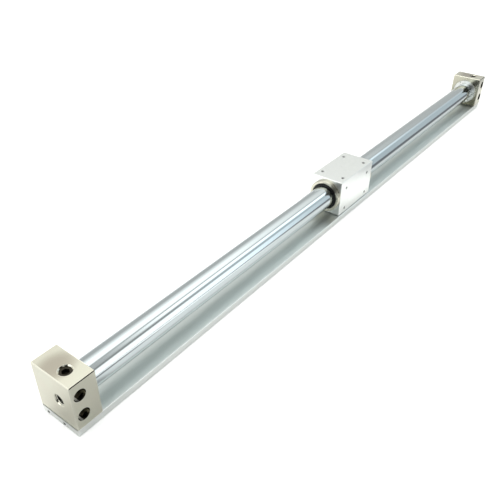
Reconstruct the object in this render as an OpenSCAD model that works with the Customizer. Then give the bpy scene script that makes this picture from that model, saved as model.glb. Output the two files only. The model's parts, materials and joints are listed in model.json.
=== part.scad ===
// Rodless pneumatic cylinder with a magnetically coupled carriage, mounted by its end covers.
// Millimetres. X runs along the stroke, Y across the width and Z up. The origin is at the
// middle of the length and width, on the surface that the sensor rail stands on.

/* [Stroke and tube] */
// Full travel of the carriage between its two stops
stroke = 625; // [100:5:1000]
// Where the carriage stands, counted from mid-stroke
carriage_x = -6; // [-40:1:40]
// Bore of the cylinder tube
bore_d = 20; // [18:0.5:21]
// Wall of the cylinder tube
tube_wall = 1.4; // [1:0.1:1.8]

/* [End covers] */
// Length of an end cover along the stroke
cover_l = 20.5; // [20.5:0.5:26]
// Width of an end cover
cover_w = 38; // [37:0.5:46]
// Height of an end cover above the rail
cover_h = 39; // [38:0.5:42]
// Bevel on the edges of an end cover
cover_bevel = 0.5; // [0.2:0.1:0.8]
// Diameter of the mounting holes through an end cover
mount_hole_d = 5.5; // [4.5:0.1:6]
// Diameter of the counterbore for a mounting screw's head
counterbore_d = 9.5; // [8:0.1:10]
// Depth of the counterbore
counterbore_depth = 5.4; // [4:0.1:5.6]
// Distance from the outer face to the mounting holes
mount_hole_in = 6.5; // [6:0.1:6.8]
// Distance between the two mounting holes of a cover
mount_hole_pitch = 17.5; // [16:0.5:18.5]

/* [Air ports] */
// Core diameter of the pipe thread in a port
port_d = 8.6; // [7.6:0.1:8.8]
// Depth of a port
port_depth = 7; // [6:0.1:7.4]
// Bevel at the mouth of a port
port_bevel = 0.7; // [0.4:0.1:0.9]
// Sideways place of the ports, from the middle of the cover
port_y = -4.6; // [-5.6:0.1:0]
// Distance along the stroke from the top port's middle to its air passage
port_offset = 3; // [2.8:0.1:3.2]
// Diameter of the passage below the top port
top_passage_d = 2.4; // [1.6:0.1:2.6]
// Diameter of the passage behind the end port
end_passage_d = 4; // [2:0.1:4.4]
// Length of the air chamber in front of the tube's mouth
chamber_l = 3.5; // [3.2:0.1:3.8]
// Diameter of the air chamber
chamber_d = 17; // [16:0.1:17.4]
// Length of the plug in the top port
plug_l = 5.3; // [4:0.1:5.4]
// How far the plug lies below the cover's top
plug_sunk = 1.2; // [0.6:0.1:1.4]
// Width across the flats of the plug's hexagon socket
plug_hex = 5; // [3:0.5:6]
// Depth of the plug's hexagon socket
plug_hex_depth = 3; // [2:0.1:3.4]

/* [Tube fastening] */
// Radial thickness of the attachment ring around the tube
ring_t = 4.4; // [3.8:0.1:4.8]
// Depth of the attachment ring in the cover
ring_in = 3.8; // [3.4:0.1:4.2]
// How far the attachment ring lies inside the cover's face
ring_sunk = 0.4; // [0.2:0.1:0.8]
// Bevel on the attachment ring and at the mouth of its seat
seat_bevel = 0.5; // [0.3:0.1:0.7]
// Diameter of the two spanner holes in the attachment ring
spanner_hole_d = 1.8; // [1.2:0.1:2.4]
// Depth of the spanner holes
spanner_hole_depth = 1.8; // [1:0.1:2.4]
// Thickness of the snap ring on the tube
snap_t = 1; // [0.8:0.1:1.2]
// Depth of the snap ring's groove in the tube
snap_groove = 0.4; // [0.2:0.1:0.6]
// Width of the opening in the snap ring
snap_opening = 9; // [4:0.5:14]
// Thickness of the tube gasket's round section
gasket_d = 1.5; // [1.3:0.1:1.6]
// Length of the rubber bumper at the end of the tube
bumper_l = 3; // [2:0.1:4]
// Diameter of the air hole through the bumper
bumper_hole_d = 10; // [6:0.1:13]

/* [Sensor rail] */
// Height of the rail at its lips, where the covers stand
rail_h = 6.2; // [6:0.1:8]
// Depth of the channel between the lips
channel_depth = 1.2; // [1:0.1:1.4]
// Thickness of a lip
lip_t = 0.9; // [0.7:0.1:1.4]
// Gap between a lip and the carriage's side
lip_gap = 0.45; // [0.35:0.05:0.8]
// Thickness of the magnetic shielding plate
plate_t = 0.5; // [0.3:0.1:0.6]
// Diameter of a sensor groove
groove_d = 3; // [2.4:0.1:3.4]
// Height of the sensor groove's middle above the rail's underside
groove_z = 1.9; // [1.8:0.1:2.2]
// Width of the sensor groove's mouth
groove_mouth = 1.6; // [1:0.1:2]
// Sideways place of the first sensor groove
groove_y = -4.1; // [-4.5:0.1:-3.7]
// Distance between the two sensor grooves
groove_pitch = 16.5; // [16:0.1:17]
// Thread diameter of the screws that hold the rail
screw_d = 4; // [3:0.1:4.2]
// Head diameter of the rail screws
screw_head_d = 7.5; // [6.6:0.1:7.8]
// Length of the rail screws in an end cover
screw_grip = 5.8; // [4:0.1:6.2]
// Distance from a cover's outer face to the rail screws
screw_in = 8; // [6:0.1:12]

/* [Carriage] */
// Length of the carriage
carriage_l = 64; // [62:1:90]
// Width of the carriage
carriage_w = 34.3; // [33.6:0.1:36]
// Height of the carriage
carriage_h = 37.4; // [36:0.1:39]
// Bevel on the edges of the carriage
carriage_bevel = 0.4; // [0.2:0.1:0.8]
// Height of the carriage above the shielding plate
carriage_lift = 0.5; // [0.3:0.1:1]
// Free travel left between a collar and the end cover at the end of the stroke
stop_gap = 2.5; // [0.8:0.1:4]
// Core diameter of the carriage's threaded holes
tap_d = 3.3; // [2.5:0.1:3.5]
// Distance between the threaded holes along the stroke
tap_pitch_x = 43; // [40:0.5:46]
// Distance between the top holes across the width
top_tap_pitch_y = 23.5; // [22:0.5:25]
// Depth of the top holes
top_tap_depth = 6.5; // [5:0.5:7]
// Distance between the side holes up the height
side_tap_pitch_z = 23; // [22:0.5:24]
// How far the side holes' middle lies below the tube axis
side_tap_drop = 2.3; // [2:0.1:2.6]
// Depth of the side holes
side_tap_depth = 4; // [3:0.1:4]
// Radial thickness of the scraper and the lube retainer
scraper_t = 2.3; // [2.1:0.1:2.4]
// Length of the scraper
scraper_l = 2.5; // [2:0.1:3]
// Length of the lube retainer
retainer_l = 3; // [2:0.1:3.4]
// Radial thickness of the carriage's wear rings
wear_t = 1.5; // [1.2:0.1:1.7]
// How far a collar stands out of the carriage
collar_proud = 3.5; // [3:0.1:4.5]
// Radial thickness of a collar's rim
collar_t = 2.8; // [2.2:0.1:3]
// How far the scraper lies inside the collar's mouth
scraper_sunk = 0.8; // [0.3:0.1:1.2]

/* [Magnets and piston] */
// Length of one magnet
magnet_l = 6; // [5:0.1:6.8]
// Length of one yoke
yoke_l = 4; // [3:0.1:4.6]
// Radial thickness of the outer magnets and yokes
outer_magnet_t = 2.6; // [2:0.1:2.7]
// Air gap between the tube and the magnets on both sides of its wall
magnet_gap = 0.5; // [0.4:0.05:0.7]
// Thickness of the spacers at the ends of the outer stack
spacer_t = 1; // [0.5:0.1:1.5]
// Diameter of the piston shaft
shaft_d = 6; // [4:0.1:7]
// Gap between the piston and the bumper when the carriage is at its stop
piston_stop_gap = 0.5; // [0.2:0.1:2]
// Width across the flats of the piston nuts
nut_af = 10; // [8:0.1:10.6]
// Height of the piston nuts
nut_l = 4; // [3:0.1:5]
// How far the pistons' side stays off the bore
piston_gap = 0.4; // [0.3:0.1:0.6]
// Distance from a piston's outer end to its seal
seal_from = 1.6; // [1.2:0.1:2]
// Length of the piston seals
piston_seal_l = 2.6; // [2:0.1:3.2]
// Depth of the piston seal's groove below the piston's side
piston_seal_t = 1.9; // [1.4:0.1:2.1]
// Length of the piston's wear rings
piston_wear_l = 5; // [3:0.1:6]
// Radial thickness of the piston's wear rings
piston_wear_t = 1.3; // [0.9:0.1:1.8]
// Length of the magnets that work the sensors
sensor_magnet_l = 8; // [5:0.5:14]
// Width of the magnets that work the sensors
sensor_magnet_w = 3; // [2:0.1:4]
// Thickness of the magnets that work the sensors
sensor_magnet_t = 2.4; // [1.5:0.1:2.8]

/* [Hidden] */
$fn = 96;
left = -1;
right = 1;
magnets = 4;
yokes = magnets + 1;
spanner_hole_angle = 55;
overcut = 1;

// Small shapes: how far a nut lies inside its piston, the land between a piston's pocket and its
// wear ring, and the bevels on a collar and a rail lip
nut_sunk = 1;
piston_land = 2;
collar_bevel = 0.5;
lip_bevel = 0.3;

// Hexagon socket of a rail screw, as a share of its thread's diameter and of its head's height
screw_socket_af = 0.62;
screw_socket_depth = 0.8;

// Clearances: a sliding fit at the tube, a close fit between fixed parts, and a loose one
// around seals that a real part squeezes.
slide_fit = 0.06;
close_fit = 0.05;
seal_fit = 0.1;
loose_fit = 0.25;

// Tube and what is bored or turned to it
bore_r = bore_d / 2;
tube_r = bore_r + tube_wall;
ring_r = tube_r + ring_t;
socket_r = tube_r + gasket_d + loose_fit;
gasket_room = gasket_d + 2 * loose_fit;
tube_seat = ring_in + snap_t + gasket_room;

// Magnet stacks
stack_l = magnets * magnet_l + yokes * yoke_l;
outer_stack_ri = tube_r + magnet_gap;
outer_stack_ro = outer_stack_ri + outer_magnet_t;
inner_stack_ro = bore_r - magnet_gap;
shaft_r = shaft_d / 2;

// Carriage: heights follow from the rail, so that the carriage just clears the plate
channel_z = rail_h - channel_depth;
plate_top = channel_z + plate_t;
axis_z = plate_top + carriage_lift + carriage_h / 2;
carriage_bore_r = outer_stack_ro + close_fit;
mouth_r = tube_r + scraper_t;
collar_r = mouth_r + collar_t;
spigot_l = (carriage_l - stack_l) / 2 - spacer_t;
wear_seat_r = tube_r + slide_fit + wear_t;
wear_from = -collar_proud + scraper_sunk + scraper_l + retainer_l + loose_fit;

// Lengths of the whole
end_gap = collar_proud + stop_gap;
total_l = 2 * (cover_l + end_gap) + carriage_l + stroke;
rail_w = carriage_w + 2 * (lip_gap + lip_t);
channel_w = rail_w - 2 * lip_t;

// End cover, with X counted from its outer face
cover_top = rail_h + cover_h;
cover_mid = rail_h + cover_h / 2;
tube_end = cover_l - tube_seat;
passage_x = tube_end - chamber_l / 2;
port_x = passage_x - port_offset;

// Piston: it ends a little before the bumper when the carriage is at its stop
piston_l = end_gap + (carriage_l - stack_l) / 2 + tube_seat - bumper_l - piston_stop_gap;
piston_r = bore_r - piston_gap;
nut_pocket_r = nut_af / sqrt(3) + loose_fit;
nut_pocket_l = nut_l + nut_sunk;
piston_wear_from = nut_pocket_l + piston_land;

// Colours
nickel = "#d3cbb8";
stainless = "#c4c9ce";
anodised = "#e6e8e6";
rail_silver = "#cfd3d3";
steel = "#9ea3a8";
black_steel = "#3a3936";
magnet_grey = "#b4b6ba";
rubber = "#1c1c1e";
urethane = "#c9a24a";
resin = "#e2dcc6";
felt = "#b8a27a";

// ---- Placing ----

// Draws its children once, turned to the right-hand side if asked for
module on_side(side) {
    if (side == right) mirror([1, 0, 0]) children();
    else children();
}

// X counted inward from the outer face of an end cover
module at_cover(side) {
    on_side(side) translate([-total_l / 2, 0, 0]) children();
}

// The same, on the tube's axis
module at_tube_end(side) {
    at_cover(side) translate([0, 0, axis_z]) children();
}

// The middle of the carriage, on the tube's axis
module at_carriage() {
    translate([carriage_x, 0, axis_z]) children();
}

// X counted inward from an end face of the carriage
module at_carriage_end(side) {
    at_carriage() on_side(side) translate([-carriage_l / 2, 0, 0]) children();
}

// X counted inward from the outer end of a piston
module at_piston(side) {
    at_carriage() on_side(side) translate([-stack_l / 2 - piston_l, 0, 0]) children();
}

// ---- Shapes ----

// Rod along X, from one place to another
module rod_x(r, from, to) {
    translate([from, 0, 0]) rotate([0, 90, 0]) cylinder(r = r, h = to - from);
}

// Round hole or rod along Y
module rod_y(r, from, to) {
    translate([0, to, 0]) rotate([90, 0, 0]) cylinder(r = r, h = to - from);
}

// Cone along X that widens by as much as it is long, from radius r
module cone_x(r, from, to) {
    translate([from, 0, 0]) rotate([0, 90, 0]) cylinder(r1 = r, r2 = r + to - from, h = to - from);
}

// Ring along X with a bore
module ring_x(r_out, r_in, from, to) {
    difference() {
        rod_x(r_out, from, to);
        rod_x(r_in, from - overcut, to + overcut);
    }
}

// Solid of revolution about X; the profile's first coordinate is the radius
module revolve_x() {
    rotate([0, 90, 0]) rotate_extrude() children();
}

// Rectangle with its corners cut off
module bevelled_rect(a, b, bevel) {
    x = a / 2;
    y = b / 2;
    polygon([
        [-x + bevel, -y], [x - bevel, -y], [x, -y + bevel], [x, y - bevel],
        [x - bevel, y], [-x + bevel, y], [-x, y - bevel], [-x, -y + bevel]
    ]);
}

// Block centred on the origin with all its edges bevelled
module bevelled_block(l, w, h, bevel) {
    intersection() {
        translate([0, 0, -h / 2]) linear_extrude(h) bevelled_rect(l, w, bevel);
        rotate([90, 0, 0]) translate([0, 0, -w / 2]) linear_extrude(w) bevelled_rect(l, h, bevel);
        rotate([90, 0, 90]) translate([0, 0, -l / 2]) linear_extrude(l) bevelled_rect(w, h, bevel);
    }
}

// Hexagonal rod along Z, sized across its flats
module hexagon_z(flats, h) {
    cylinder(d = flats * 2 / sqrt(3), h = h, $fn = 6);
}

// ---- Fixed parts ----

module cylinder_tube() {
    color(stainless) translate([0, 0, axis_z]) difference() {
        ring_x(tube_r, bore_r, -total_l / 2 + tube_end, total_l / 2 - tube_end);
        for (side = [left, right])
            on_side(side) translate([-total_l / 2, 0, 0]) snap_groove_cut();
    }
}

module snap_groove_cut() {
    from = cover_l - ring_in - snap_t - close_fit;
    to = cover_l - ring_in + close_fit;
    ring_x(tube_r + overcut, tube_r - snap_groove, from, to);
}

module end_cover(side) {
    color(nickel) at_cover(side) difference() {
        translate([cover_l / 2, 0, cover_mid])
            bevelled_block(cover_l, cover_w, cover_h, cover_bevel);
        translate([0, 0, axis_z]) cover_bores();
        mounting_holes();
        end_port();
        top_port();
        cover_screw_holes();
    }
}

// Steps bored on the tube's axis: air chamber, tube socket and the ring's seat
module cover_bores() {
    rod_x(chamber_d / 2, tube_end - chamber_l, cover_l + overcut);
    rod_x(socket_r, tube_end, cover_l + overcut);
    rod_x(ring_r, cover_l - ring_in, cover_l + overcut);
    cone_x(ring_r, cover_l - seat_bevel, cover_l + overcut);
}

module mounting_holes() {
    for (up = [-1, 1])
        translate([mount_hole_in, 0, cover_mid + up * mount_hole_pitch / 2]) {
            rod_y(mount_hole_d / 2, -cover_w, cover_w);
            rod_y(counterbore_d / 2, -cover_w, -cover_w / 2 + counterbore_depth);
        }
}

module end_port() {
    translate([0, port_y, cover_mid]) {
        rotate([0, -90, 0]) port_bore();
        rod_x(end_passage_d / 2, 0, tube_end);
    }
}

module top_port() {
    translate([port_x, port_y, cover_top]) port_bore();
    translate([passage_x, port_y, axis_z])
        cylinder(d = top_passage_d, h = cover_top - port_depth / 2 - axis_z);
}

// Threaded bore of a port, from its mouth at the origin down, with a bevelled mouth
module port_bore() {
    translate([0, 0, -port_depth]) cylinder(d = port_d, h = port_depth + overcut);
    translate([0, 0, -port_bevel])
        cylinder(d1 = port_d, d2 = port_d + 2 * (port_bevel + overcut), h = port_bevel + overcut);
}

// Threaded holes in the cover's foot, one beside each sensor groove
module cover_screw_holes() {
    at_rail_screws() cylinder(d = screw_d, h = rail_h + screw_grip + loose_fit);
}

module at_rail_screws() {
    for (i = [-1, 0])
        translate([screw_in, groove_y + (i + 0.5) * groove_pitch, 0]) children();
}

// Ring that holds the tube in the cover, with two holes for a pin spanner in its face
module attachment_ring(side) {
    from = cover_l - ring_in;
    face = cover_l - ring_sunk;
    outer_r = ring_r - close_fit;
    inner_r = tube_r + close_fit;
    color(stainless) at_tube_end(side) difference() {
        revolve_x() polygon([
            [inner_r, from], [outer_r, from], [outer_r, face - seat_bevel],
            [outer_r - seat_bevel, face], [inner_r, face]
        ]);
        for (turn = [0, 180])
            rotate([spanner_hole_angle + turn, 0, 0]) translate([0, (ring_r + tube_r) / 2, 0])
                rod_x(spanner_hole_d / 2, face - spanner_hole_depth, face + overcut);
    }
}

module tube_snap_ring(side) {
    from = cover_l - ring_in - snap_t;
    color(black_steel) at_tube_end(side) difference() {
        ring_x(socket_r - loose_fit, tube_r - snap_groove + close_fit, from, from + snap_t);
        translate([from - overcut, -snap_opening / 2, -socket_r])
            cube([snap_t + 2 * overcut, snap_opening, socket_r]);
    }
}

module tube_gasket(side) {
    middle = tube_end + gasket_room / 2;
    color(rubber) at_tube_end(side) translate([middle, 0, 0]) revolve_x()
        translate([tube_r + seal_fit + gasket_d / 2, 0]) circle(d = gasket_d);
}

module bumper(side) {
    color(urethane) at_tube_end(side)
        ring_x(bore_r - seal_fit, bumper_hole_d / 2, tube_end, tube_end + bumper_l);
}

module port_plug(side) {
    color(black_steel) at_cover(side)
        translate([port_x, port_y, cover_top - plug_sunk - plug_l]) difference() {
            cylinder(r = port_d / 2 - close_fit, h = plug_l);
            translate([0, 0, plug_l - plug_hex_depth]) hexagon_z(plug_hex, plug_hex_depth + overcut);
        }
}

module sensor_rail() {
    color(rail_silver) difference() {
        translate([-total_l / 2, 0, 0]) rotate([90, 0, 90]) linear_extrude(total_l) rail_section();
        for (side = [left, right])
            at_cover(side) at_rail_screws() rail_screw_hole();
    }
}

// Cross-section of the rail, with Y across and the height up
module rail_section() {
    difference() {
        translate([0, rail_h / 2]) bevelled_rect(rail_w, rail_h, lip_bevel);
        translate([-channel_w / 2, channel_z]) square([channel_w, rail_h]);
        for (i = [0, 1])
            translate([groove_y + i * groove_pitch, 0]) sensor_groove();
    }
}

module sensor_groove() {
    translate([0, groove_z]) circle(d = groove_d);
    translate([-groove_mouth / 2, -overcut]) square([groove_mouth, groove_z + overcut]);
}

module rail_screw_hole() {
    head_h = (screw_head_d - screw_d) / 2;
    translate([0, 0, -overcut]) cylinder(d = screw_d + 2 * loose_fit, h = rail_h + 2 * overcut);
    translate([0, 0, -overcut]) cylinder(r = screw_head_d / 2 + close_fit, h = overcut + loose_fit);
    translate([0, 0, loose_fit])
        cylinder(r1 = screw_head_d / 2 + close_fit, r2 = screw_d / 2 + close_fit, h = head_h);
}

module shielding_plate() {
    color(steel) difference() {
        translate([-total_l / 2, -channel_w / 2 + close_fit, channel_z])
            cube([total_l, channel_w - 2 * close_fit, plate_t]);
        for (side = [left, right])
            at_cover(side) at_rail_screws() cylinder(d = screw_d + 2 * loose_fit, h = rail_h);
    }
}

module rail_screws() {
    color(steel)
        for (side = [left, right])
            at_cover(side) at_rail_screws() rail_screw();
}

// Countersunk screw that stands on its head, a little inside the rail's underside
module rail_screw() {
    head_h = (screw_head_d - screw_d) / 2;
    socket_depth = head_h * screw_socket_depth;
    translate([0, 0, loose_fit]) difference() {
        union() {
            cylinder(r1 = screw_head_d / 2, r2 = screw_d / 2 - close_fit, h = head_h);
            cylinder(r = screw_d / 2 - close_fit, h = rail_h + screw_grip - loose_fit);
        }
        translate([0, 0, -overcut]) hexagon_z(screw_d * screw_socket_af, socket_depth + overcut);
    }
}

// ---- Carriage ----

module carriage_body() {
    color(anodised) at_carriage() difference() {
        bevelled_block(carriage_l, carriage_w, carriage_h, carriage_bevel);
        rod_x(carriage_bore_r, -carriage_l, carriage_l);
        for (x = [-1, 1], s = [-1, 1]) {
            translate([x * tap_pitch_x / 2, s * top_tap_pitch_y / 2, carriage_h / 2 - top_tap_depth])
                cylinder(d = tap_d, h = top_tap_depth + overcut);
            translate([x * tap_pitch_x / 2, 0, s * side_tap_pitch_z / 2 - side_tap_drop])
                rod_y(tap_d / 2, -carriage_w, -carriage_w / 2 + side_tap_depth);
        }
        at_sensor_magnets() sensor_pocket();
    }
}

// Each sensor magnet lies over one of the rail's grooves, in the carriage's underside
module at_sensor_magnets() {
    for (i = [0, 1])
        translate([0, groove_y + i * groove_pitch, -carriage_h / 2]) children();
}

module sensor_pocket() {
    l = sensor_magnet_l + 2 * close_fit;
    w = sensor_magnet_w + 2 * close_fit;
    depth = sensor_magnet_t + loose_fit;
    translate([-l / 2, -w / 2, -overcut]) cube([l, w, depth + overcut]);
}

module sensor_magnets() {
    color(magnet_grey) at_carriage() at_sensor_magnets()
        translate([-sensor_magnet_l / 2, -sensor_magnet_w / 2, loose_fit])
            cube([sensor_magnet_l, sensor_magnet_w, sensor_magnet_t]);
}

// Rim outside the carriage, and a spigot in its bore that holds the scraper, the lube
// retainer and the wear ring
module collar(side) {
    shoulder = -collar_proud + scraper_sunk + scraper_l + retainer_l;
    mouth_bevel = scraper_sunk / 2;
    color(nickel) at_carriage_end(side) revolve_x() polygon([
        [mouth_r + mouth_bevel, -collar_proud],
        [collar_r - collar_bevel, -collar_proud],
        [collar_r, -collar_proud + collar_bevel],
        [collar_r, 0],
        [carriage_bore_r - close_fit, 0],
        [carriage_bore_r - close_fit, spigot_l],
        [wear_seat_r + close_fit, spigot_l],
        [wear_seat_r + close_fit, shoulder],
        [mouth_r, shoulder],
        [mouth_r, -collar_proud + mouth_bevel]
    ]);
}

// Wiper with a lip that leans outward to the tube
module scraper(side) {
    from = -collar_proud + scraper_sunk;
    lip_r = tube_r + seal_fit;
    heel_r = tube_r + scraper_t / 3;
    color(rubber) at_carriage_end(side) revolve_x() polygon([
        [lip_r, from],
        [lip_r + scraper_t / 4, from],
        [lip_r + scraper_t / 2, from + scraper_l / 3],
        [mouth_r - close_fit, from + scraper_l / 3],
        [mouth_r - close_fit, from + scraper_l],
        [heel_r, from + scraper_l],
        [heel_r, from + scraper_l / 2],
        [lip_r, from + scraper_l / 5]
    ]);
}

module lube_retainer(side) {
    from = -collar_proud + scraper_sunk + scraper_l;
    color(felt) at_carriage_end(side)
        ring_x(mouth_r - close_fit, tube_r + seal_fit, from, from + retainer_l);
}

module carriage_wear_ring(side) {
    color(resin) at_carriage_end(side)
        ring_x(wear_seat_r, tube_r + slide_fit, wear_from, spigot_l);
}

module stack_spacer(side) {
    color(steel) at_carriage_end(side)
        ring_x(outer_stack_ro, outer_stack_ri, spigot_l, spigot_l + spacer_t);
}

// ---- Magnet stacks: yoke, magnet, yoke, and so on from the left ----

function yoke_from(i) = -stack_l / 2 + (i - 1) * (yoke_l + magnet_l);
function magnet_from(i) = yoke_from(i) + yoke_l;

module outer_magnet(i) {
    color(magnet_grey) at_carriage()
        ring_x(outer_stack_ro, outer_stack_ri, magnet_from(i), magnet_from(i) + magnet_l);
}

module outer_yoke(i) {
    color(steel) at_carriage()
        ring_x(outer_stack_ro, outer_stack_ri, yoke_from(i), yoke_from(i) + yoke_l);
}

module inner_magnet(i) {
    color(magnet_grey) at_carriage()
        ring_x(inner_stack_ro, shaft_r + close_fit, magnet_from(i), magnet_from(i) + magnet_l);
}

module inner_yoke(i) {
    color(steel) at_carriage()
        ring_x(inner_stack_ro, shaft_r + close_fit, yoke_from(i), yoke_from(i) + yoke_l);
}

// ---- Piston ----

module piston_shaft() {
    reach = stack_l / 2 + piston_l - nut_pocket_l + nut_l;
    color(stainless) at_carriage() rod_x(shaft_r, -reach, reach);
}

module piston(side) {
    color(anodised) at_piston(side) difference() {
        rod_x(piston_r, 0, piston_l);
        rod_x(shaft_r + close_fit, -overcut, piston_l + overcut);
        rod_x(nut_pocket_r, -overcut, nut_pocket_l);
        ring_x(bore_r, piston_r - piston_seal_t, seal_from, seal_from + piston_seal_l);
        ring_x(bore_r, piston_wear_ri(), piston_wear_from, piston_wear_from + piston_wear_l);
    }
}

function piston_wear_ri() = bore_r - slide_fit - piston_wear_t;

// Cup seal: its lip leans outward to the bore, towards the air
module piston_seal(side) {
    heel_ri = piston_r - piston_seal_t + close_fit;
    lip_ro = bore_r - seal_fit;
    from = seal_from + close_fit;
    to = seal_from + piston_seal_l - close_fit;
    color(rubber) at_piston(side) revolve_x() polygon([
        [heel_ri, from],
        [heel_ri + piston_seal_t / 4, from],
        [heel_ri + piston_seal_t / 2, (from + to) / 2],
        [lip_ro - piston_seal_t / 4, from],
        [lip_ro, from],
        [lip_ro, (from + to) / 2],
        [piston_r - close_fit, to],
        [heel_ri, to]
    ]);
}

module piston_wear_ring(side) {
    color(resin) at_piston(side) ring_x(
        bore_r - slide_fit,
        piston_wear_ri() + close_fit,
        piston_wear_from + close_fit,
        piston_wear_from + piston_wear_l - close_fit
    );
}

module piston_nut(side) {
    color(steel) at_piston(side) translate([nut_pocket_l - nut_l, 0, 0]) rotate([0, 90, 0])
        difference() {
            hexagon_z(nut_af, nut_l);
            translate([0, 0, -overcut]) cylinder(r = shaft_r + close_fit, h = nut_l + 2 * overcut);
        }
}

// ---- Assembly ----

cylinder_tube();
end_cover(left);  // left_end_cover
end_cover(right);  // right_end_cover
attachment_ring(left);  // left_attachment_ring
attachment_ring(right);  // right_attachment_ring
tube_snap_ring(left);  // left_tube_snap_ring
tube_snap_ring(right);  // right_tube_snap_ring
tube_gasket(left);  // left_tube_gasket
tube_gasket(right);  // right_tube_gasket
bumper(left);  // left_bumper
bumper(right);  // right_bumper
port_plug(left);  // left_port_plug
port_plug(right);  // right_port_plug
sensor_rail();
shielding_plate();
rail_screws();
carriage_body();
collar(left);  // left_collar
collar(right);  // right_collar
scraper(left);  // left_scraper
scraper(right);  // right_scraper
lube_retainer(left);  // left_lube_retainer
lube_retainer(right);  // right_lube_retainer
carriage_wear_ring(left);  // left_carriage_wear_ring
carriage_wear_ring(right);  // right_carriage_wear_ring
stack_spacer(left);  // left_stack_spacer
stack_spacer(right);  // right_stack_spacer
sensor_magnets();
piston_shaft();
piston(left);  // left_piston
piston(right);  // right_piston
piston_seal(left);  // left_piston_seal
piston_seal(right);  // right_piston_seal
piston_wear_ring(left);  // left_piston_wear_ring
piston_wear_ring(right);  // right_piston_wear_ring
piston_nut(left);  // left_piston_nut
piston_nut(right);  // right_piston_nut
for (i = [1 : magnets])
    outer_magnet(i);
for (i = [1 : yokes])
    outer_yoke(i);
for (i = [1 : magnets])
    inner_magnet(i);
for (i = [1 : yokes])
    inner_yoke(i);
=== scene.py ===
"""Looks of a magnetically coupled rodless air cylinder: a carriage on a polished tube between
two end covers, over a sensor rail. Lengths are in metres, in the frame of the CAD model:
X along the stroke, -Y the side with the counterbores, Z up."""

import itertools
import json
import math

import bmesh
import bpy
from mathutils import Matrix, Vector


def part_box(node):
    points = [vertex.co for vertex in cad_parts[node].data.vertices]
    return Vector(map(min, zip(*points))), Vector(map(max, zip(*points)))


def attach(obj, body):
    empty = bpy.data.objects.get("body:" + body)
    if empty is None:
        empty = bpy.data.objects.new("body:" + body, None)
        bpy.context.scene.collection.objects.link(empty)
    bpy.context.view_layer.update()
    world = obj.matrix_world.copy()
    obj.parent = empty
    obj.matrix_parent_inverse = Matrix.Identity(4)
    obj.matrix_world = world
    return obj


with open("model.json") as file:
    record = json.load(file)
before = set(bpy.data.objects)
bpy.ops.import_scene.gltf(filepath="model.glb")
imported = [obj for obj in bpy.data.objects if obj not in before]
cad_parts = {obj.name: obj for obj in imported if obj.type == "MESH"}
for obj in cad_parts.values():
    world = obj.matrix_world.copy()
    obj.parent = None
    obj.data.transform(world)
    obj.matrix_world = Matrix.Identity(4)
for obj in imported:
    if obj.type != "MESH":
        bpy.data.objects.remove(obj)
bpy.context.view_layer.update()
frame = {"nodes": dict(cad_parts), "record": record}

MM = 0.001

tube_axis_z = sum(corner.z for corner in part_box("cylinder_tube")) / 2
cover_inner_x, cover_outer_x = (corner.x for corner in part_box("right_end_cover"))


# ---------------------------------------------------------------- helpers for materials

def linear(hex_colour):
    """An sRGB hex colour as linear RGBA."""
    channels = [int(hex_colour[i:i + 2], 16) / 255 for i in (1, 3, 5)]
    return [c / 12.92 if c <= 0.04045 else ((c + 0.055) / 1.055) ** 2.4 for c in channels] + [1.0]


def add(tree, kind, inputs=None, **settings):
    """Adds one node. An input is a value, or the output socket that feeds it."""
    made = tree.nodes.new("ShaderNode" + kind)
    for name, value in settings.items():
        setattr(made, name, value)
    for name, value in (inputs or {}).items():
        if isinstance(value, bpy.types.NodeSocket):
            tree.links.new(value, made.inputs[name])
        else:
            made.inputs[name].default_value = value
    return made


def new_finish(name, **sockets):
    """A material with its shader's uniform values set: the material, its tree and its shader."""
    finish = bpy.data.materials.new(name)
    finish.use_nodes = True
    tree = finish.node_tree
    shader = tree.nodes["Principled BSDF"]
    for socket, value in sockets.items():
        shader.inputs[socket].default_value = value
    return finish, tree, shader


def position(tree):
    """Where a point lies in its object's frame, which is the part's for every CAD node and, but
    for its small drop, for the floor: X, Y and Z."""
    return add(tree, "SeparateXYZ", {0: add(tree, "TexCoord").outputs["Object"]}).outputs


def grain(tree, size_mm, detail=2.0):
    """Noise from 0 to 1, whose features are about size_mm long along X, Y and Z."""
    place = add(tree, "TexCoord").outputs["Object"]
    per_metre = [1 / (size * MM) for size in size_mm]
    scaled = add(tree, "Mapping", {"Vector": place, "Scale": per_metre}).outputs["Vector"]
    return add(tree, "TexNoise", {"Vector": scaled, "Scale": 1.0, "Detail": detail}).outputs["Fac"]


def spread(tree, value, low, high, from_low=0.3, from_high=0.7):
    """The value, spread from its usual range to low..high."""
    return add(tree, "MapRange", {"Value": value, "From Min": from_low, "From Max": from_high,
                                  "To Min": low, "To Max": high}).outputs["Result"]


def tint_between(tree, value, first, second):
    """A colour between two colours or colour sockets, by a value from 0 to 1."""
    return add(tree, "Mix", {0: value, 6: first, 7: second}, data_type="RGBA").outputs[2]


def tint(tree, value, first, second):
    """A colour between two hex colours, by a value from 0 to 1."""
    return tint_between(tree, value, linear(first), linear(second))


def relief(tree, shader, height, depth_mm):
    """Bumps of that depth, from a height that runs from 0 to 1."""
    bump = add(tree, "Bump", {"Height": height, "Distance": depth_mm * MM})
    tree.links.new(bump.outputs["Normal"], shader.inputs["Normal"])


def fold(tree, operation, result, *others):
    """Values or sockets, joined one after another by the same arithmetic."""
    for value in others:
        result = add(tree, "Math", {0: result, 1: value}, operation=operation).outputs[0]
    return result


def product(tree, *values):
    """Values or sockets, multiplied together."""
    return fold(tree, "MULTIPLY", *values)


def total(tree, *values):
    """Values or sockets, added up."""
    return fold(tree, "ADD", *values)


def largest(tree, *values):
    """The largest of some values or sockets."""
    return fold(tree, "MAXIMUM", *values)


def opposite(tree, share):
    """1 where a share is 0, and 0 where it is 1."""
    return total(tree, 1.0, product(tree, share, -1.0))


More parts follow.
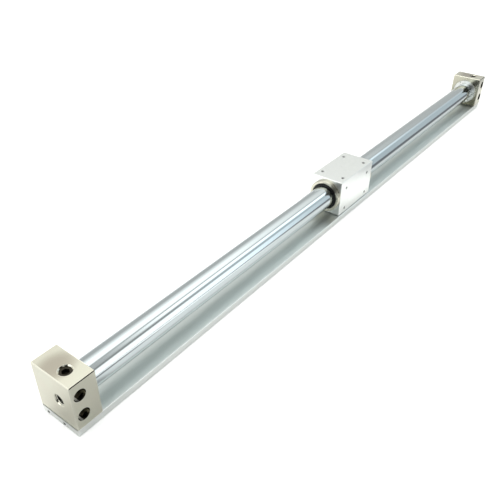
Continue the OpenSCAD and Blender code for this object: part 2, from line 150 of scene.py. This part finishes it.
def ramp(tree, value, at_zero, at_one):
    """A soft rise from 0 to 1, as the value goes from at_zero to at_one."""
    return add(tree, "MapRange", {"Value": value, "From Min": at_zero, "From Max": at_one},
               interpolation_type="SMOOTHSTEP").outputs["Result"]


def patch(tree, strength, *edges):
    """A patch with soft edges, from 0 outside to its strength inside. Each edge is a socket, the
    value at which the patch starts, and the value from which it is full."""
    return product(tree, *(ramp(tree, *edge) for edge in edges), strength)


def turning_marks(tree, pitch_mm):
    """Rings round the tube's axis, as a wave from 0 to 1: the marks that a lathe tool leaves."""
    _, across, height = position(tree)
    up = total(tree, height, -tube_axis_z)
    squares = total(tree, product(tree, up, up), product(tree, across, across))
    radius = add(tree, "Math", {0: squares}, operation="SQRT").outputs[0]
    turns = product(tree, radius, 2 * math.pi / (pitch_mm * MM))
    wave = add(tree, "Math", {0: turns}, operation="SINE").outputs[0]
    return spread(tree, wave, 0.0, 1.0, -1.0, 1.0)


def bore_shade_and_grease(tree, reach_mm):
    """1 in the depth of a bore, 0 on open faces: where a bore's colour is painted dark, as shade
    and grease. The reach is how far away a wall still shuts out the sky."""
    open_sky = add(tree, "AmbientOcclusion", {"Distance": reach_mm * MM}, samples=8,
                   only_local=True).outputs["AO"]
    return ramp(tree, open_sky, 0.9, 0.55)


def facing(tree, direction, least, full):
    """1 where a face looks along a direction, 0 where it turns away. The two limits are cosines."""
    normal = add(tree, "NewGeometry").outputs["True Normal"]
    cosine = add(tree, "VectorMath", {0: normal, 1: Vector(direction).normalized()},
                 operation="DOT_PRODUCT").outputs["Value"]
    return ramp(tree, cosine, least, full)


def edges_worn_and_highlit(tree, width_mm):
    """1 along sharp outer edges, where handling has rubbed the surface bright and a highlight is
    painted on.
    """
    rounded = add(tree, "Bevel", {"Radius": width_mm * MM}, samples=4).outputs[0]
    flat = add(tree, "NewGeometry").outputs["True Normal"]
    cosine = add(tree, "VectorMath", {0: rounded, 1: flat},
                 operation="DOT_PRODUCT").outputs["Value"]
    return ramp(tree, cosine, 0.995, 0.93)


# ---------------------------------------------------------------- materials

def polished_stainless():
    """Stainless steel tube, drawn and then polished along its length: long clean streaks of
    light, with hairlines that run lengthwise. The hairlines are real ones made 3 times coarser."""
    finish, tree, shader = new_finish("stainless_tube_drawn_polished", Metallic=1.0)
    hairlines = grain(tree, (60, 0.35, 0.35))
    patches = grain(tree, (45, 9, 9))
    tree.links.new(tint(tree, patches, "#C0C8CB", "#C7CDCE"), shader.inputs["Base Color"])
    tree.links.new(spread(tree, hairlines, 0.07, 0.12), shader.inputs["Roughness"])
    relief(tree, shader, hairlines, 0.0006)
    return finish


def turned_stainless():
    """Stainless steel ring, turned on a lathe: bright, with fine rings of tool marks round the
    tube's axis. The marks are drawn 0.4 mm apart, about 4 times coarser than real ones."""
    finish, tree, shader = new_finish("stainless_ring_turned", Metallic=1.0)
    marks = turning_marks(tree, 0.4)
    tree.links.new(tint(tree, marks, "#EFF0ED", "#FAFAF7"), shader.inputs["Base Color"])
    tree.links.new(spread(tree, grain(tree, (6, 6, 6)), 0.24, 0.32), shader.inputs["Roughness"])
    relief(tree, shader, marks, 0.0015)
    return finish


def painted_dark_reflection(tree):
    """A soft oval patch on the top of each end cover, painted darker and pinker: a painted dark
    reflection.
    """
    in_from_end, behind_middle = 7 * MM, 3 * MM
    half_length, half_width = 18 * MM, 13 * MM
    place = position(tree)
    from_middle = add(tree, "Math", {0: place["X"]}, operation="ABSOLUTE").outputs[0]
    along = product(tree, total(tree, from_middle, in_from_end - cover_outer_x), 1 / half_length)
    across = product(tree, total(tree, place["Y"], -behind_middle), 1 / half_width)
    away = total(tree, product(tree, along, along), product(tree, across, across))
    return product(tree, ramp(tree, away, 1.15, 0.02), facing(tree, (0, 0, 1), 0.9, 0.95))


def painted_inner_shade(tree):
    """How dark a cover's inner face is painted, as shade: a little all over, 1 low down beside the
    rail.
    """
    shade_all_over = 0.35
    unshaded_above, shaded_below = tube_axis_z + 8 * MM, 9 * MM
    place = position(tree)
    from_middle = add(tree, "Math", {0: place["X"]}, operation="ABSOLUTE").outputs[0]
    on_inner_face = ramp(tree, from_middle, cover_inner_x + 0.6 * MM, cover_inner_x + 0.2 * MM)
    low_down = ramp(tree, place["Z"], unshaded_above, shaded_below)
    return product(tree, on_inner_face, spread(tree, low_down, shade_all_over, 1.0, 0.0, 1.0))


def nickel_on_milled_aluminium():
    """Aluminium block, milled, then nickel plated: a satin, slightly yellow metal with faint
    milling lines 0.5 mm apart, and broad patches where the plating is a little pinker. Its edges
    are rubbed bright, with a painted highlight, apart from three that carry a painted dark line.
    A painted dark reflection lies on its top, and painted shade on its inner faces. Its bores are
    painted nearly black, as shade and grease, with a painted glint low on one wall."""
    finish, tree, shader = new_finish("nickel_plate_on_milled_aluminium", Metallic=1.0)
    patches = grain(tree, (14, 14, 14), 1.0)
    milling = grain(tree, (0.5, 9, 9))
    deep = bore_shade_and_grease(tree, 7)
    # a painted glint: a pale stripe low on each counterbore's wall
    painted_glint = product(tree, deep, facing(tree, (0.38, 0, 0.92), 0.975, 0.985))
    # the bore walls, which are painted nearly black as shade and grease
    shaded_bore_walls = product(tree, deep, opposite(tree, facing(tree, (0, -1, 0), 0.98, 0.99)))
    plating = tint(tree, patches, "#DEDECC", "#DFD9C9")
    # a painted dark reflection on the top of each cover
    plating = tint_between(tree, painted_dark_reflection(tree), plating, linear("#B7B0A1"))
    # painted shade on each cover's inner face, darkest low down beside the rail
    plating = tint_between(tree, painted_inner_shade(tree), plating, linear("#97937F"))
    # edges rubbed bright, with a painted highlight
    plating = tint_between(tree, edges_worn_and_highlit(tree, 0.8), plating, linear("#F2F0E4"))
    # painted dark lines: a dark reflection along the bevel over the counterbores, and shade in the
    # seam between each cover's end and the rail
    for bevel in ((0, -1, 1), (-1, 0, -1), (1, 0, -1)):
        painted_dark_line = facing(tree, bevel, 0.97, 0.99)
        plating = tint_between(tree, painted_dark_line, plating, linear("#3D382E"))
    # bore walls painted nearly black, as shade and grease
    plating = tint_between(tree, shaded_bore_walls, plating, linear("#332F27"))
    # the painted glint, pale and matt
    plating = tint_between(tree, painted_glint, plating, linear("#FFFDF5"))
    tree.links.new(plating, shader.inputs["Base Color"])
    # the painted glint is matt, with next to no metal shine
    tree.links.new(opposite(tree, product(tree, painted_glint, 0.9)), shader.inputs["Metallic"])
    tree.links.new(spread(tree, patches, 0.15, 0.21), shader.inputs["Roughness"])
    relief(tree, shader, milling, 0.0012)
    return finish


def nickel_on_turned_aluminium():
    """Aluminium collar, turned, then nickel plated: a cream-white satin metal, with tool marks
    round the tube's axis, drawn 0.5 mm apart."""
    finish, tree, shader = new_finish("nickel_plate_on_turned_aluminium", Metallic=1.0)
    marks = turning_marks(tree, 0.5)
    tree.links.new(tint(tree, marks, "#C1BEAF", "#CFCCBE"), shader.inputs["Base Color"])
    tree.links.new(spread(tree, grain(tree, (5, 5, 5)), 0.24, 0.32), shader.inputs["Roughness"])
    relief(tree, shader, marks, 0.004)
    return finish


def blasted_white_anodising():
    """Aluminium block, glass-bead blasted, then anodised in its natural white: a bright, silky,
    nearly white metal, with a fine even grain of 0.15 mm beads. Its edges are rubbed bright, with a
    painted highlight, and its tapped holes are painted dark, as shade and grease."""
    finish, tree, shader = new_finish("white_anodised_blasted_aluminium", Metallic=0.9)
    beads = grain(tree, (0.15, 0.15, 0.15))
    coat = tint(tree, beads, "#E7E9E6", "#F0F2EF")
    # edges rubbed bright, with a painted highlight
    coat = tint_between(tree, edges_worn_and_highlit(tree, 0.5), coat, linear("#FAFBF9"))
    # tapped holes painted dark, as shade and grease
    tree.links.new(tint_between(tree, bore_shade_and_grease(tree, 4), coat, linear("#3A3A38")),
                   shader.inputs["Base Color"])
    tree.links.new(spread(tree, beads, 0.24, 0.32), shader.inputs["Roughness"])
    relief(tree, shader, beads, 0.003)
    return finish


def extruded_clear_anodising():
    """Aluminium extrusion, etched, then clear anodised: satin silver with die lines along it,
    0.6 mm apart, and sensor grooves painted dark, as shade and grease."""
    finish, tree, shader = new_finish("clear_anodised_extruded_aluminium", Metallic=1.0)
    die_lines = grain(tree, (120, 0.6, 0.6))
    coat = tint(tree, die_lines, "#E4E6E4", "#F1F2F0")
    # sensor grooves painted dark, as shade and grease
    tree.links.new(tint_between(tree, bore_shade_and_grease(tree, 2.5), coat, linear("#3C3C3A")),
                   shader.inputs["Base Color"])
    tree.links.new(spread(tree, die_lines, 0.3, 0.4), shader.inputs["Roughness"])
    relief(tree, shader, die_lines, 0.002)
    return finish


def rolled_zinc_plate():
    """Rolled steel strip, bright zinc plated: a cool grey metal with rolling lines along it,
    drawn 0.8 mm apart."""
    finish, tree, shader = new_finish("zinc_plated_rolled_steel", Metallic=1.0)
    rolling = grain(tree, (80, 0.8, 0.8))
    tree.links.new(tint(tree, rolling, "#E6EBE8", "#F0F4F1"), shader.inputs["Base Color"])
    tree.links.new(spread(tree, rolling, 0.36, 0.46), shader.inputs["Roughness"])
    relief(tree, shader, rolling, 0.002)
    return finish


def zinc_on_machined_steel():
    """Steel screws, yokes and spacers, bright zinc plated: cool grey with a faint blue cast."""
    finish, tree, shader = new_finish("zinc_plated_machined_steel", Metallic=1.0)
    patches = grain(tree, (2, 2, 2))
    tree.links.new(tint(tree, patches, "#C2C7CB", "#D0D3D4"), shader.inputs["Base Color"])
    tree.links.new(spread(tree, patches, 0.25, 0.38), shader.inputs["Roughness"])
    return finish


def black_oxide():
    """Steel plugs and snap rings, black oxide with a film of oil: nearly black, with a brown
    cast and a dull shine."""
    finish, tree, shader = new_finish("black_oxide_steel", Metallic=1.0)
    patches = grain(tree, (1.2, 1.2, 1.2))
    tree.links.new(tint(tree, patches, "#37342E", "#4A463D"), shader.inputs["Base Color"])
    tree.links.new(spread(tree, patches, 0.35, 0.5), shader.inputs["Roughness"])
    return finish


def nickel_on_magnet():
    """Sintered ring magnet, ground and then nickel plated: a bright, faintly grainy silver."""
    finish, tree, shader = new_finish("nickel_plated_sintered_magnet", Metallic=1.0)
    grains = grain(tree, (0.3, 0.3, 0.3))
    tree.links.new(tint(tree, grains, "#D6D3CA", "#DFDCD4"), shader.inputs["Base Color"])
    tree.links.new(spread(tree, grains, 0.2, 0.3), shader.inputs["Roughness"])
    relief(tree, shader, grains, 0.003)
    return finish


def moulded_nitrile():
    """Nitrile rubber, moulded, with a film of grease: black, with a soft shine."""
    finish, tree, shader = new_finish("nitrile_rubber_moulded", IOR=1.52)
    bloom = grain(tree, (1.5, 1.5, 1.5))
    tree.links.new(tint(tree, bloom, "#121212", "#1E1E1D"), shader.inputs["Base Color"])
    tree.links.new(spread(tree, bloom, 0.35, 0.5), shader.inputs["Roughness"])
    return finish


def moulded_urethane():
    """Urethane rubber bumper, moulded: amber brown and a little glossy."""
    finish, tree, shader = new_finish("urethane_rubber_moulded", IOR=1.5)
    bloom = grain(tree, (2, 2, 2))
    tree.links.new(tint(tree, bloom, "#8A5A2C", "#9A6A38"), shader.inputs["Base Color"])
    tree.links.new(spread(tree, bloom, 0.3, 0.42), shader.inputs["Roughness"])
    return finish


def moulded_bearing_resin():
    """Filled acetal bearing resin, moulded: off-white, with a waxy shine."""
    finish, tree, shader = new_finish("acetal_bearing_resin_moulded", IOR=1.48)
    flow = grain(tree, (4, 1.5, 1.5))
    tree.links.new(tint(tree, flow, "#D8D2C2", "#E2DDCF"), shader.inputs["Base Color"])
    tree.links.new(spread(tree, flow, 0.38, 0.5), shader.inputs["Roughness"])
    return finish


def oiled_wool_felt():
    """Wool felt, pressed and soaked in oil: tan, with a matted surface of 0.2 mm fibres."""
    finish, tree, shader = new_finish("wool_felt_oiled", IOR=1.47)
    fibres = grain(tree, (0.2, 0.6, 0.6), 4.0)
    tree.links.new(tint(tree, fibres, "#7C6A4A", "#A08C66"), shader.inputs["Base Color"])
    tree.links.new(spread(tree, fibres, 0.6, 0.85), shader.inputs["Roughness"])
    relief(tree, shader, fibres, 0.05)
    return finish


FINISH_OF_SLOT = {
    "bright_stainless": polished_stainless(),
    "nickel_plated_aluminium": nickel_on_milled_aluminium(),
    "white_anodised_aluminium": blasted_white_anodising(),
    "clear_anodised_aluminium": extruded_clear_anodising(),
    "zinc_plated_steel": zinc_on_machined_steel(),
    "black_oxide_steel": black_oxide(),
    "nickel_plated_magnet": nickel_on_magnet(),
    "nitrile_rubber": moulded_nitrile(),
    "urethane_rubber": moulded_urethane(),
    "bearing_resin": moulded_bearing_resin(),
    "oiled_felt": oiled_wool_felt(),
}
turned_ring = turned_stainless()
turned_collar = nickel_on_turned_aluminium()
FINISH_OF_NODE = {
    "left_attachment_ring": turned_ring,
    "right_attachment_ring": turned_ring,
    "left_collar": turned_collar,
    "right_collar": turned_collar,
    "shielding_plate": rolled_zinc_plate(),
}


def finish_cad_nodes():
    """Gives every CAD node the finish of its slot, or its own."""
    for subpart in frame["record"]["subparts"]:
        name = subpart["node"]
        finish = FINISH_OF_NODE.get(name, FINISH_OF_SLOT[subpart["material_slot"]])
        mesh = frame["nodes"][name].data
        mesh.materials.clear()
        mesh.materials.append(finish)


finish_cad_nodes()


def new_object(name, made, finish):
    """Puts an object with a finish into the scene, made from a bmesh."""
    mesh = bpy.data.meshes.new(name)
    made.to_mesh(mesh)
    made.free()
    mesh.materials.append(finish)
    placed = bpy.data.objects.new(name, mesh)
    bpy.context.scene.collection.objects.link(placed)
    return placed


# ---------------------------------------------------------------- threads

# One turn of a thread has so many straight pieces, and its ridge rises over so many at one end
# and fades over as many at the other.
TURN_STEPS = 40
RUN_OUT_STEPS = 10
# Half the ridge's width at its root and at its crest, as shares of the pitch, and how far the
# root lies in the wall.
ROOT_HALF, CREST_HALF = 0.46, 0.08
ROOT_SUNK = 0.1 * MM
# Pitch and height of the ridge: 1/8 inch pipe thread in the ports, M4 in the carriage.
PORT_PITCH, PORT_RIDGE = 0.907 * MM, 0.35 * MM
TAP_PITCH, TAP_RIDGE = 0.7 * MM, 0.22 * MM
# A port's thread starts in the bevel at its mouth, so far outside the plain bore.
PORT_BEVEL_MIDDLE = 0.4 * MM
# The holes in the carriage, and how deep they are tapped.
TAPPED_DEPTH = {"carriage_top_holes": 6.5 * MM, "carriage_side_holes": 4 * MM}


def thread(name, mouth, inward, bore_r, pitch, ridge, depth, body, slot):
    """A screw thread in a bore: one closed ridge that winds in from the mouth, its root a little
    inside the wall, and runs out at both ends."""
    aside = inward.orthogonal().normalized()
    up = inward.cross(aside)
    steps = int((depth - pitch) / pitch * TURN_STEPS)
    root_r = bore_r + ROOT_SUNK
    made = bmesh.new()
    last = None
    for step in range(steps + 1):
        turn = 2 * math.pi * step / TURN_STEPS
        along = pitch / 2 + pitch * step / TURN_STEPS
        crest_r = bore_r - ridge * min(1.0, step / RUN_OUT_STEPS, (steps - step) / RUN_OUT_STEPS)
        out = math.cos(turn) * aside + math.sin(turn) * up
        profile = ((root_r, -ROOT_HALF), (crest_r, -CREST_HALF),
                   (crest_r, CREST_HALF), (root_r, ROOT_HALF))
        section = [made.verts.new(mouth + out * r + inward * (along + share * pitch))
                   for r, share in profile]
        if last:
            for i in range(len(section)):
                made.faces.new((last[i], last[i - 1], section[i - 1], section[i]))
        else:
            made.faces.new(section)
        last = section
    made.faces.new(reversed(last))
    bmesh.ops.recalc_face_normals(made, faces=made.faces)
    piece = new_object(name, made, FINISH_OF_SLOT[slot])
    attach(piece, body)


def cut_threads():
    """Threads in the end ports and in the carriage's holes, which the CAD leaves at their core."""
    mounts = {mount["name"]: mount for mount in frame["record"]["mounts"]}
    for side in ("left", "right"):
        port = mounts[side + "_end_port"]
        inward = -Vector(port["axis"])
        length = port["dims"]["length_mm"] * MM
        mouth = Vector(port["pos_m"]) - inward * (length / 2 + PORT_BEVEL_MIDDLE)
        thread(side + "_end_port_thread", mouth, inward, port["dims"]["r_mm"] * MM, PORT_PITCH,
               PORT_RIDGE, length, "frame", "nickel_plated_aluminium")
    for name, depth in TAPPED_DEPTH.items():
        holes = mounts[name]
        dims = holes["dims"]
        outward = Vector(holes["axis"])
        across = Vector((0, 1, 0)) if outward.z else Vector((0, 0, 1))
        half_x = Vector((dims["spacing_x_mm"] / 2 * MM, 0, 0))
        half_across = across * (dims["spacing_y_mm"] / 2 * MM)
        corners = itertools.product((-1, 1), repeat=2)
        for number, (column, row) in enumerate(corners, start=1):
            mouth = Vector(holes["pos_m"]) + column * half_x + row * half_across
            thread(f"{name[:-1]}_thread_{number}", mouth, -outward, dims["hole_r_mm"] * MM,
                   TAP_PITCH, TAP_RIDGE, depth, "carriage", "white_anodised_aluminium")


cut_threads()


# ---------------------------------------------------------------- studio

FLOOR_SIDE = 6.0
FLOOR_DROP = 0.2 * MM  # below the rail, so that the two faces don't lie in one plane


def lit_patches(tree, place):
    """How much light of its own the floor has in reflections: most behind the part and to the
    left, where the tube's and the covers' brightest bands come from."""
    x, y = place["X"], place["Y"]
    # a band of light behind the part, that lies a little askew and fades towards both ends
    back = total(tree, y, product(tree, x, -0.06))
    ends = product(tree, spread(tree, x, 0.2, 0.72, -0.38, -0.34),
                   spread(tree, x, 1.0, 0.12, 0.10, 0.25))
    behind = patch(tree, ends, (back, 0.022, 0.045), (back, 0.19, 0.09))
    along_front = patch(tree, 0.26, (x, -0.338, -0.298), (y, -0.023, -0.034))
    pool_before_camera = patch(tree, 0.6, (x, -0.29, -0.20), (x, 0.09, -0.06), (y, -0.11, -0.17))
    card_by_carriage = patch(tree, 0.35, (x, -0.015, 0.02), (x, 0.082, 0.066),
                             (y, -0.022, -0.030), (y, -0.085, -0.065))
    return total(tree, behind, along_front, pool_before_camera, card_by_carriage)


def dark_patches(tree, place):
    """How dark the floor is in reflections, from 0 for white paper to 1 for the room's dark: most
    in front, towards both ends, where the tube has its dark bands."""
    x, y = place["X"], place["Y"]
    front_right = patch(tree, 1.0, (x, -0.02, 0.12), (y, -0.030, -0.075))
    front_left = patch(tree, 0.85, (x, -0.18, -0.27), (y, -0.08, -0.11))
    # painted shadow of each cover on the floor in front of it, seen in reflections
    left_cover_shadow = patch(tree, 0.45, (x, -0.318, -0.332), (y, -0.0215, -0.0255))
    right_cover_shadow = patch(tree, 0.2, (x, 0.345, 0.360), (y, -0.0215, -0.0255))
    beyond_left_end = patch(tree, spread(tree, y, 0.29, 0.09, 0.005, 0.035), (x, -0.3730, -0.3755))
    # a dark patch painted on the floor slantwise behind the carriage, seen in reflections as a grey
    # card would make it, whose back would else be too white
    slant = total(tree, x, product(tree, y, -1.0))
    card_shade_patch = patch(tree, 0.65, (slant, -0.070, -0.055), (slant, 0.022, 0.008),
                      (y, 0.035, 0.050), (y, 0.150, 0.130))
    return largest(tree, front_right, front_left, left_cover_shadow, right_cover_shadow, beyond_left_end,
                   card_shade_patch)


def white_paper():
    """White paper, matt, that the camera sees evenly white. Metal needs more to reflect, so its
    reflections also see lit and dark patches on the paper, as lamps and cards would make them."""
    paper = bpy.data.materials.new("white_paper")
    paper.use_nodes = True
    tree = paper.node_tree
    tree.nodes.clear()
    path = add(tree, "LightPath").outputs
    place = position(tree)
    glow = total(tree, product(tree, path["Is Camera Ray"], 0.35),
                 product(tree, path["Is Glossy Ray"], lit_patches(tree, place)))
    matt = add(tree, "BsdfDiffuse", {"Color": linear("#F0F0EF")}).outputs[0]
    lit = add(tree, "Emission", {"Strength": glow}).outputs[0]
    bright = add(tree, "AddShader", {0: matt, 1: lit}).outputs[0]
    dark = add(tree, "BsdfDiffuse", {"Color": linear("#828488")}).outputs[0]
    darkness = product(tree, path["Is Glossy Ray"], dark_patches(tree, place))
    mixed = add(tree, "MixShader", {0: darkness, 1: bright, 2: dark}).outputs[0]
    add(tree, "OutputMaterial", {"Surface": mixed})
    return paper


def white_floor():
    """A plain white floor under the rail."""
    made = bmesh.new()
    bmesh.ops.create_grid(made, x_segments=1, y_segments=1, size=FLOOR_SIDE / 2)
    floor = new_object("floor", made, white_paper())
    floor.location.z = -FLOOR_DROP


# Long softboxes beside and over the part, parallel to it. Their angles go round the tube's axis,
# from the back (+Y) over the top to the front (-Y): where the light starts, is full, is full no
# more and ends. Then its strength, below 0 for a dark frame beside a light, and where it starts,
# is full, fades and ends along X, as the X of a direction.
SOFTBOXES = (
    (5, 20, 50, 70, 0.6, -2, -1, -0.55, -0.3),
    (28, 76, 93, 103, 1.3, -2, -1, 0.55, 0.93),
    (104, 110, 121, 133, 1.3, 0.38, 0.53, 0.76, 0.90),
    (100, 110, 120, 135, 0.22, 0.40, 0.60, 2, 3),
    (130, 136, 140, 145, -0.28, -0.6, -0.1, 0.50, 0.60),
    (142, 150, 182, 190, 1.3, -0.6, -0.1, 0.60, 0.82),
    (128, 138, 172, 184, 0.1, 0.60, 0.75, 2, 3),
)
ROOM_LIGHT = 0.72


def light_tent():
    """The world: a grey room for reflections and fill light, dark behind the camera, with long
    softboxes in it. The camera sees it as plain white."""
    world = bpy.data.worlds.new("light_tent")
    bpy.context.scene.world = world
    world.use_nodes = True
    tree = world.node_tree
    tree.nodes.clear()
    way = add(tree, "SeparateXYZ", {0: add(tree, "TexCoord").outputs["Generated"]}).outputs
    x = way["X"]
    turn = add(tree, "Math", {0: way["Z"], 1: way["Y"]}, operation="ARCTAN2").outputs[0]
    angle = add(tree, "Math", {0: turn}, operation="DEGREES").outputs[0]
    strength = ROOM_LIGHT
    for starts, full_from, full_to, ends, light, near, near_full, far_full, far in SOFTBOXES:
        softbox = patch(tree, light, (angle, starts, full_from), (angle, ends, full_to),
                        (x, near, near_full), (x, far, far_full))
        strength = total(tree, strength, softbox)
    behind_camera = patch(tree, 1.0, (x, -0.1, -0.65), (angle, 84, 106))
    strength = product(tree, strength, spread(tree, behind_camera, 1.0, 0.04, 0.0, 1.0))
    # the light from the front right is a little bluer
    front_right = patch(tree, 1.0, (x, 0.45, 0.72), (angle, 100, 118))
    cast = tint(tree, front_right, "#F6F8F6", "#EDF9FF")
    room = add(tree, "Background", {"Color": cast, "Strength": strength}).outputs[0]
    white = add(tree, "Background", {"Color": linear("#FFFFFF"), "Strength": 1.0}).outputs[0]
    seen = add(tree, "LightPath").outputs["Is Camera Ray"]
    mixed = add(tree, "MixShader", {0: seen, 1: room, 2: white}).outputs[0]
    add(tree, "OutputWorld", {"Surface": mixed})


def set_camera():
    """The camera stands beyond the left end, on the front side, above the part."""
    place = Vector((-0.4961, -0.2468, 0.3145))
    aim = Vector((-0.16315, 0.00145, 0.0247))
    roll = math.radians(0.79)
    data = bpy.data.cameras.new("camera")
    data.lens = 41.73
    data.clip_start = 0.01
    camera = bpy.data.objects.new("camera", data)
    bpy.context.scene.collection.objects.link(camera)
    turn = (aim - place).to_track_quat("-Z", "Y").to_matrix() @ Matrix.Rotation(roll, 3, "Z")
    camera.matrix_world = Matrix.Translation(place) @ turn.to_4x4()
    bpy.context.scene.camera = camera


white_floor()
light_tent()
set_camera()
bpy.context.scene.view_settings.view_transform = "Standard"
